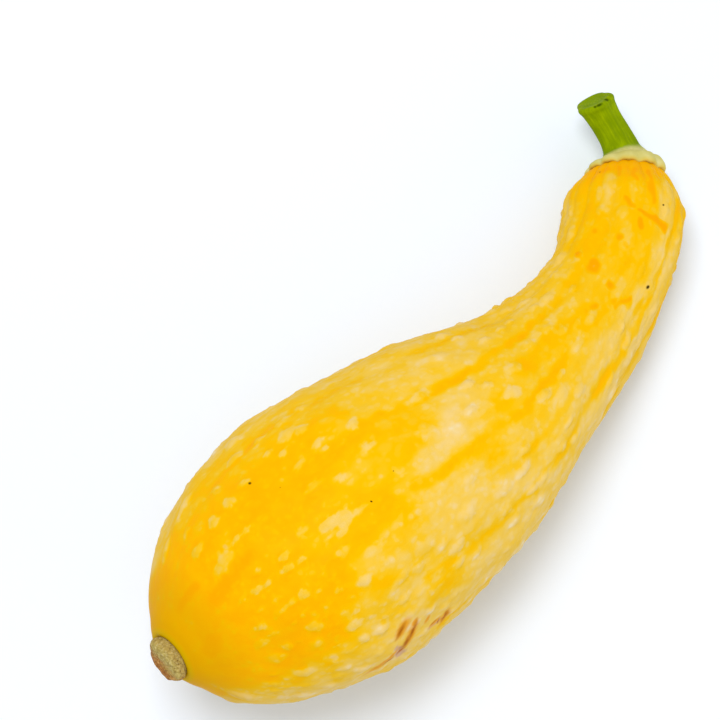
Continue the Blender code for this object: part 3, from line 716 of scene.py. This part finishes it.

# The skin is darker towards the scar, and olive on the lip round it. The scabs have amber edges and
# brown cracks, and there are a few dark specks.
nose, lip = (
    add(tree, "MapRange", {"Value": along_at, "From Min": start, "From Max": full})
    for start, full in ((11.0, 0.5), (0.1, -0.7))
)
amber = ovals(tree, place_mm, [
    (48.3, 30.5, 37.8, 6.5, 3.2, -41), (50.2, 23.2, 38.0, 9.0, 3.2, -57), (41.0, 14.5, 37.0, 11.0, 2.2, -36),
    (58.2, 17.0, 38.0, 4.0, 2.2, -10), (61.5, 15.0, 38.0, 6.0, 2.8, -62), (56.0, 24.0, 38.0, 3.0, 1.4, -50),
    (52.0, 29.0, 38.0, 3.0, 1.6, -50),
], 0.35)
cracks = ovals(tree, place_mm, [
    (47.6, 29.8, 37.8, 4.2, 1.1, -44), (50.8, 24.4, 38.0, 6.0, 1.2, -60), (48.2, 20.2, 38.0, 4.4, 2.0, -50),
    (42.6, 13.9, 37.0, 3.6, 0.7, -36), (46.4, 16.0, 37.6, 2.8, 1.0, -30), (57.6, 17.5, 38.0, 1.6, 0.6, 0),
    (59.4, 15.0, 38.0, 1.4, 0.6, -60), (61.6, 15.0, 38.0, 3.4, 1.1, -62),
], 0.75)
specks = ovals(tree, place_mm, [
    (38.0, 123.5, 36.5, 1.0, 0.9, 0), (43.0, 112.5, 37.2, 0.4, 0.4, 0), (58.2, 84.5, 38.2, 0.7, 0.45, 60),
    (67.5, 88.5, 37.9, 0.5, 0.4, 0), (163.5, 49.0, 18.6, 1.3, 1.0, 30), (186.2, 57.0, 17.8, 0.6, 0.5, 0),
    (196.0, 127.0, 15.2, 0.8, 0.6, 0), (119.0, 74.0, 26.5, 0.4, 0.4, 0),
], 0.35)
# The orange tint colours the real blotches and also lays painted shade into the creases at the shoulder
for mark, strength, tint in (
    (orange_blotch_and_crease_shade, 0.38, "#EA9600"), (nose, 0.8, "#D09900"), (lip, 0.6, "#C4A800"),
    (dry_scab, 0.85, "#C9A080"), (amber, 0.9, "#DC941A"), (cracks, 1.0, "#AC620A"), (specks, 1.0, "#3E2C06"),
):
    tint_share = add(tree, "Math", {0: mark, 1: strength}, operation="MULTIPLY")
    mixed = add(tree, "Mix", {0: tint_share, 6: colour, 7: linear(tint)}, data_type="RGBA")
    colour = mixed.outputs[2]
tree.links.new(colour, shader.inputs["Base Color"])

height = add(tree, "Math", {0: mottle, 1: mottled_share}, operation="MULTIPLY")
height = add(tree, "Math", {0: cracks, 1: -0.8, 2: height}, operation="MULTIPLY_ADD")
bumps = add(tree, "Bump", {"Height": height, "Strength": 0.35, "Distance": 0.35 * MM})
tree.links.new(bumps.outputs["Normal"], shader.inputs["Normal"])
wax = add(tree, "MapRange", {"Value": grain, "To Min": 0.34, "To Max": 0.5})
tree.links.new(wax.outputs[0], shader.inputs["Roughness"])
shader.inputs["IOR"].default_value = 1.45
shader.inputs["Specular IOR Level"].default_value = 0.012
fruit.data.materials.clear()
fruit.data.materials.append(skin_material)
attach(fruit, "root")
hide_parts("fruit")

# The stem and its foot
# A stump of the vine's fibrous, five-ribbed green stalk, cut off with a knife. It widens into the pale waxy
# foot that grips the shoulder; stalk and foot grew as one piece.

# The section, as (distance past the fruit's end, radius) in mm, from the foot's lower edge to the cut end
STEM_SECTION_MM = [
    (-1.8, 11.0), (-1.5, 11.9), (-0.5, 12.0), (0.5, 11.2), (1.2, 9.2), (2.1, 7.3), (3.5, 6.0),
    (6.5, 5.35), (11.0, 5.05), (15.5, 5.1), (18.6, 5.5), (20.5, 5.8), (21.0, 5.4), (20.8, 3.0), (20.6, 0.0),
]
UNDERSIDE_RING_MM = (-1.8, 4.0)
CUT_MIDDLE_RING_MM = (20.63, 0.8)
STEM_SIDES = 40
STEM_RING_GAP = 1.9
STEM_LEVELS = 2
UNDERSIDE_STEPS, STEM_STEPS = 100, 400
UNDERSIDE_SHARE = UNDERSIDE_STEPS / (UNDERSIDE_STEPS + STEM_STEPS)
SHOULDER_SHARE = 0.9
SHOULDER_STEPS = 240
SHOULDER_ANGLES = np.arange(0.0, 361.0, 2.5)
FOOT_GAP = 0.05 * MM
FOOT_EASE = (-1.0 * MM, 3.0 * MM)
FOOT_SCALLOP = 0.9 * MM
STEM_RIB_COUNT = 5
STEM_RIB_DEPTH = 0.11
STEM_RIB_EASE = (1.5 * MM, 6.0 * MM)
STEM_RIB_PHASE = 20.0
CUT_SLANT = 0.22
CUT_FACING = 80.0
CUT_EASE = (8.0 * MM, 21.0 * MM)
CUT_RAGGED, CUT_RAGGED_MM = 0.25 * MM, 2.2
CUT_FACE_SHARE = (0.88, 0.95)


def shoulder_height(out, around):
    """Where the fruit's shoulder is, along the axis, at a distance out from it."""
    share = np.linspace(SHOULDER_SHARE, 1.0, SHOULDER_STEPS)
    along, radius, face_along, face_out = (np.interp(share, SKIN_SHARES, column) for column in SKIN_TABLE)
    heights = []
    for angle in SHOULDER_ANGLES:
        here = np.full_like(share, angle)
        relief = wart_height(along, here, radius)[0] + swell(along, here) - groove_depth(along, here)
        line = (radius + face_out * relief, along + face_along * relief)
        heights.append(np.interp(out, line[0][::-1], line[1][::-1]))
    before = np.clip(np.searchsorted(SHOULDER_ANGLES, around, side="right") - 1, 0, len(SHOULDER_ANGLES) - 2)
    step = (around - SHOULDER_ANGLES[before]) / (SHOULDER_ANGLES[before + 1] - SHOULDER_ANGLES[before])
    heights, every = np.array(heights), np.arange(len(out))
    return heights[before, every] * (1.0 - step) + heights[before + 1, every] * step


stem_line = curve_through(STEM_SECTION_MM, STEM_STEPS + 1) * MM
foot_radius = stem_line[0, 1]
underside = np.linspace((stem_line[0, 0], 0.0), stem_line[0], UNDERSIDE_STEPS, endpoint=False)
stem_rings = rings_along([UNDERSIDE_RING_MM] + STEM_SECTION_MM[:-1] + [CUT_MIDDLE_RING_MM], STEM_RING_GAP)
stem = straight_body("squash_stem", stem_rings, STEM_SIDES, STEM_LEVELS)
share, around = along_section(stem, np.vstack([underside, stem_line]))
steps = np.linspace(UNDERSIDE_SHARE, 1.0, STEM_STEPS + 1)
past, out = (np.interp(share, steps, column) for column in stem_line.T)
under = share < UNDERSIDE_SHARE
out[under] = foot_radius * share[under] / UNDERSIDE_SHARE
straight_mm = straight_places(past, out, around)
keep_on(stem, "straight_mm", straight_mm)
keep_on(stem, "cut_face", eased(share, *CUT_FACE_SHARE))
groove = in_groove(np.full_like(out, FRUIT_LENGTH), around)[0]
on_foot = 1.0 - eased(past, *FOOT_EASE)
out = out - FOOT_SCALLOP * groove * on_foot * out / foot_radius
rim_at = shoulder_height(np.full_like(out, foot_radius), around) + FOOT_GAP
stem_along = FRUIT_LENGTH + past + (rim_at - FRUIT_LENGTH - stem_line[0, 0]) * on_foot
at_cut = eased(past, *CUT_EASE)
stem_along -= CUT_SLANT * out * np.cos(np.radians(around - CUT_FACING)) * at_cut
ribs = 0.5 - 0.5 * np.cos(np.radians(STEM_RIB_COUNT * (around - STEM_RIB_PHASE)))
out *= 1.0 - STEM_RIB_DEPTH * ribs * eased(past, *STEM_RIB_EASE)
out += CUT_RAGGED * at_cut * noise_at(straight_mm, CUT_RAGGED_MM, 4.4) * out / foot_radius
stem_along[under] = shoulder_height(out[under], around[under]) + FOOT_GAP
bent(stem, place(stem_along, out, around))

# Fresh stalk: leaf green with lengthwise fibres, its cut face with fine rings. The foot is
# waxy and cream, and yellower along its lower edge.
FIBRE_MM, FIBRES_DRAWN_OUT = 0.9, (1.0, 1.0, 0.07)
STALK_CLOUD_MM = 5.0
CUT_RING_MM = 0.9

stalk_material, tree, shader = new_material("fresh_cut_stalk")
place_mm = add(tree, "Attribute", attribute_name="straight_mm").outputs["Vector"]
cut_at = add(tree, "Attribute", attribute_name="cut_face")
past_fruit = add(tree, "SeparateXYZ", {"Vector": place_mm}).outputs["Z"]
drawn_out = add(tree, "VectorMath", {0: place_mm, 1: FIBRES_DRAWN_OUT}, operation="MULTIPLY")
fibres = add(
    tree, "TexNoise", {"Vector": drawn_out, "Scale": 1 / FIBRE_MM, "Detail": 3.0, "Roughness": 0.6}
)
cloud = add(tree, "TexNoise", {"Vector": place_mm, "Scale": 1 / STALK_CLOUD_MM, "Detail": 2.0})
tone = add(tree, "Math", {0: fibres, 1: 0.8, 2: -0.15}, operation="MULTIPLY_ADD")
tone = add(tree, "Math", {0: cloud, 1: 0.5, 2: tone}, operation="MULTIPLY_ADD")
out_mm = add(tree, "VectorMath", {0: place_mm, 1: (1.0, 1.0, 0.0)}, operation="MULTIPLY")
out_mm = add(tree, "VectorMath", {0: out_mm}, operation="LENGTH").outputs["Value"]
rings = add(tree, "Math", {0: out_mm, 1: 2 * np.pi / CUT_RING_MM}, operation="MULTIPLY")
rings = add(tree, "Math", {0: rings}, operation="SINE")
rings = add(tree, "Math", {0: rings, 1: 0.12, 2: cloud}, operation="MULTIPLY_ADD")
green, cut_green, cream = (
    add(tree, "ValToRGB", {"Fac": pattern}, stops=stops)
    for pattern, stops in (
        (tone, [(0.2, "#668000"), (0.45, "#788E00"), (0.62, "#869C00"), (0.85, "#A0B208")]),
        (rings, [(0.25, "#6A8400"), (0.5, "#7A9200"), (0.8, "#8CA200")]),
        (cloud, [(0.3, "#C0B660"), (0.5, "#CAC172"), (0.75, "#D8CF90")]),
    )
)
edge = add(tree, "Math", {0: fibres, 1: 1.6, 2: past_fruit}, operation="MULTIPLY_ADD")
foot_share = add(tree, "MapRange", {"Value": edge, "From Min": 4.5, "From Max": 2.5})
rim = add(tree, "MapRange", {"Value": past_fruit, "From Min": -0.4, "From Max": -1.6, "To Max": 0.75})
pits = ovals(tree, place_mm, [
    (20.9, 62.0, 5.3, 0.9, 1.3, 10), (20.9, 98.0, 5.3, 0.6, 1.8, 0), (20.9, 112.0, 5.3, 0.5, 1.0, 0),
], 0.45)
colour = green
for tint_share, tint in (
    (cut_at, cut_green), (foot_share, cream), (rim, linear("#CDB23C")), (pits, linear("#3F5200")),
):
    mixed = add(tree, "Mix", {0: tint_share, 6: colour, 7: tint}, data_type="RGBA")
    colour = mixed.outputs[2]
tree.links.new(colour, shader.inputs["Base Color"])
height = add(tree, "Math", {0: pits, 1: -1.0, 2: fibres}, operation="MULTIPLY_ADD")
bumps = add(tree, "Bump", {"Height": height, "Strength": 0.4, "Distance": 0.3 * MM})
tree.links.new(bumps.outputs["Normal"], shader.inputs["Normal"])
sheen = add(tree, "MapRange", {"Value": fibres, "To Min": 0.4, "To Max": 0.6})
tree.links.new(sheen.outputs[0], shader.inputs["Roughness"])
shader.inputs["IOR"].default_value = 1.45
shader.inputs["Specular IOR Level"].default_value = 0.015
stem.data.materials.clear()
stem.data.materials.append(stalk_material)
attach(stem, "root")
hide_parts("stem")

# The blossom scar
# The dry, corky button where the flower was shed, about 12 mm across. It stands in a shallow seat and has
# an uneven edge, fine cracks and small pits.

# The section, as (distance along the axis, radius) in mm, from the outer face to the seat
SCAR_SECTION_MM = [
    (-3.8, 0.0), (-4.0, 3.6), (-3.7, 5.4), (-2.9, 6.1), (-1.7, 6.2), (-0.8, 6.1), (0.0, 4.1), (0.0, 0.0),
]
SCAR_FACE_RING_MM = (-3.85, 1.0)
SCAR_SEAT_RING_MM = (0.0, 1.5)
SCAR_SIDES = 32
SCAR_RING_GAP = 1.0
SCAR_LEVELS = 3
SCAR_STEPS = 400
SCAR_LUMPS = 0.28 * MM
SCAR_LUMPS_FROM = (-2.0 * MM, -1.0 * MM)
SCAR_LUMPS_PHASE = 0.7
CORK_HEIGHT = 0.22 * MM
CORK_LUMP_MM = 1.7

scar_line = curve_through(SCAR_SECTION_MM, SCAR_STEPS) * MM
scar_rings = rings_along([SCAR_FACE_RING_MM] + SCAR_SECTION_MM[1:-1] + [SCAR_SEAT_RING_MM], SCAR_RING_GAP)
scar = straight_body("squash_blossom_scar", scar_rings, SCAR_SIDES, SCAR_LEVELS)
share, around = along_section(scar, scar_line)
scar_shares = np.linspace(0.0, 1.0, SCAR_STEPS)
scar_along, out = (np.interp(share, scar_shares, column) for column in scar_line.T)
straight_mm = straight_places(scar_along, out, around)
keep_on(scar, "straight_mm", straight_mm)
outer = 1.0 - eased(scar_along, *SCAR_LUMPS_FROM)
lumps = SCAR_LUMPS * outer * out / scar_line[:, 1].max()
angle = np.radians(around)
out = out + lumps * (np.sin(3.0 * angle + SCAR_LUMPS_PHASE) + np.sin(5.0 * angle))
scar_along = scar_along + lumps * np.sin(2.0 * angle)
scar_along += CORK_HEIGHT * outer * noise_at(straight_mm, CORK_LUMP_MM, 2.2)
bent(scar, place(scar_along, out, around))

# Dry cork: greenish tan and dusty, brown where it has weathered, with a dark rim, cracks and pits
CORK_CLOUD_MM, CORK_GRAIN_MM, CORK_CRACK_MM, CORK_PIT_MM = 2.6, 0.6, 1.5, 1.1
CORK_BROWN_SIDE = (0.05, -0.5, 0.0)

cork_material, tree, shader = new_material("dry_blossom_cork")
place_mm = add(tree, "Attribute", attribute_name="straight_mm").outputs["Vector"]
cloud = add(
    tree, "TexNoise", {"Vector": place_mm, "Scale": 1 / CORK_CLOUD_MM, "Detail": 3.0, "Roughness": 0.65}
)
grain = add(tree, "TexNoise", {"Vector": place_mm, "Scale": 1 / CORK_GRAIN_MM, "Detail": 3.0})
side = add(tree, "VectorMath", {0: place_mm, 1: CORK_BROWN_SIDE}, operation="DOT_PRODUCT").outputs["Value"]
weathered = add(tree, "Math", {0: cloud, 1: 5.0, 2: side}, operation="MULTIPLY_ADD")
weathered = add(tree, "MapRange", {"Value": weathered, "From Min": 1.6, "From Max": 3.4})
tan, brown = (
    add(tree, "ValToRGB", {"Fac": grain}, stops=stops)
    for stops in (
        [(0.3, "#A08A44"), (0.5, "#B6A054"), (0.72, "#CCBC7C")],
        [(0.3, "#7E4A10"), (0.5, "#AC6E24"), (0.72, "#CC9C58")],
    )
)
out_mm = add(tree, "VectorMath", {0: place_mm, 1: (1.0, 1.0, 0.0)}, operation="MULTIPLY")
out_mm = add(tree, "VectorMath", {0: out_mm}, operation="LENGTH").outputs["Value"]
rim_edge = add(tree, "Math", {0: grain, 1: 0.6, 2: out_mm}, operation="MULTIPLY_ADD")
rim = add(tree, "MapRange", {"Value": rim_edge, "From Min": 5.95, "From Max": 6.4, "To Max": 0.25})
cells = add(
    tree, "TexVoronoi", {"Vector": place_mm, "Scale": 1 / CORK_CRACK_MM}, feature="DISTANCE_TO_EDGE"
)
cracks = add(tree, "MapRange", {"Value": cells, "From Min": 0.05, "From Max": 0.0, "To Max": 0.6})
cells = add(tree, "TexVoronoi", {"Vector": place_mm, "Scale": 1 / CORK_PIT_MM})
pits = add(tree, "MapRange", {"Value": cells, "From Min": 0.24, "From Max": 0.12})
dark = add(tree, "Math", {0: cracks, 1: pits}, operation="MAXIMUM")
dark_share = add(tree, "Math", {0: dark, 1: 0.65}, operation="MULTIPLY")
colour = tan
for tint_share, tint in ((weathered, brown), (rim, linear("#8A5A1C")), (dark_share, linear("#6A4818"))):
    mixed = add(tree, "Mix", {0: tint_share, 6: colour, 7: tint}, data_type="RGBA")
    colour = mixed.outputs[2]
tree.links.new(colour, shader.inputs["Base Color"])
height = add(tree, "Math", {0: dark, 1: -0.8, 2: grain}, operation="MULTIPLY_ADD")
bumps = add(tree, "Bump", {"Height": height, "Strength": 0.7, "Distance": 0.3 * MM})
tree.links.new(bumps.outputs["Normal"], shader.inputs["Normal"])
dust = add(tree, "MapRange", {"Value": grain, "To Min": 0.75, "To Max": 0.95})
tree.links.new(dust.outputs[0], shader.inputs["Roughness"])
shader.inputs["Specular IOR Level"].default_value = 0.2
scar.data.materials.clear()
scar.data.materials.append(cork_material)
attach(scar, "root")
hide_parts("blossom_scar")

# The table, the light and the camera
# A plain white table under one soft lamp, with a weak fill from the right and even light from all round.
# The camera looks down from the photo's side, with a long lens.
bpy.ops.object.select_all(action="DESELECT")
bpy.ops.mesh.primitive_plane_add(size=6.0, location=(0.0, 0.0, 0.0))
table = bpy.context.object
table.name = "table"
table_material, tree, shader = new_material("white_laminate")
shader.inputs["Base Color"].default_value = linear("#EAF1FC")
shader.inputs["Roughness"].default_value = 0.9
shader.inputs["Specular IOR Level"].default_value = 0.1
table.data.materials.append(table_material)

IMAGE_TURN = np.radians(39.3)
CAMERA_TILT = np.radians(13.0)
CAMERA_DISTANCE = 0.558
TARGET = np.array([-7.3, 25.4, 30.0]) * MM
WORLD_STRENGTH = 0.74

image_right = np.array([np.cos(IMAGE_TURN), -np.sin(IMAGE_TURN), 0.0])
image_up_level = np.array([np.sin(IMAGE_TURN), np.cos(IMAGE_TURN), 0.0])
back = -np.sin(CAMERA_TILT) * image_up_level + np.cos(CAMERA_TILT) * np.array([0.0, 0.0, 1.0])


def aim(thing, from_target, up):
    """Puts a thing at a place seen from the target and turns its -Z to the target, with its +Y towards up."""
    z = Vector(from_target).normalized()
    x = Vector(up).cross(z).normalized()
    turned = Matrix((x, z.cross(x), z)).transposed().to_4x4()
    thing.matrix_world = Matrix.Translation(TARGET + from_target) @ turned
    bpy.context.scene.collection.objects.link(thing)


camera_data = bpy.data.cameras.new("camera")
camera_data.lens = 100.0
camera_data.sensor_width = 36.0
camera_data.clip_start = 0.01
camera = bpy.data.objects.new("camera", camera_data)
aim(camera, back * CAMERA_DISTANCE, image_up_level)
bpy.context.scene.camera = camera

# The lamps, as (name, size in metres, watts, how far right of the target, towards the image's top and above
# it, and which way their own top points)
for name, size, watts, right, up, above, top in (
    ("softbox", 0.3, 3.35, -0.1, 0.06, 0.8, image_up_level),
    ("fill", 0.5, 0.8, 0.55, -0.25, 0.12, (0.0, 0.0, 1.0)),
):
    lamp_data = bpy.data.lights.new(name, "AREA")
    lamp_data.shape = "SQUARE"
    lamp_data.size = size
    lamp_data.energy = watts
    from_target = right * image_right + up * image_up_level + (0.0, 0.0, above)
    aim(bpy.data.objects.new(name, lamp_data), from_target, top)

world = bpy.data.worlds.new("studio")
world.use_nodes = True
world.node_tree.nodes["Background"].inputs["Color"].default_value = (1.0, 1.0, 1.0, 1.0)
world.node_tree.nodes["Background"].inputs["Strength"].default_value = WORLD_STRENGTH
bpy.context.scene.world = world
bpy.context.scene.view_settings.view_transform = "Standard"
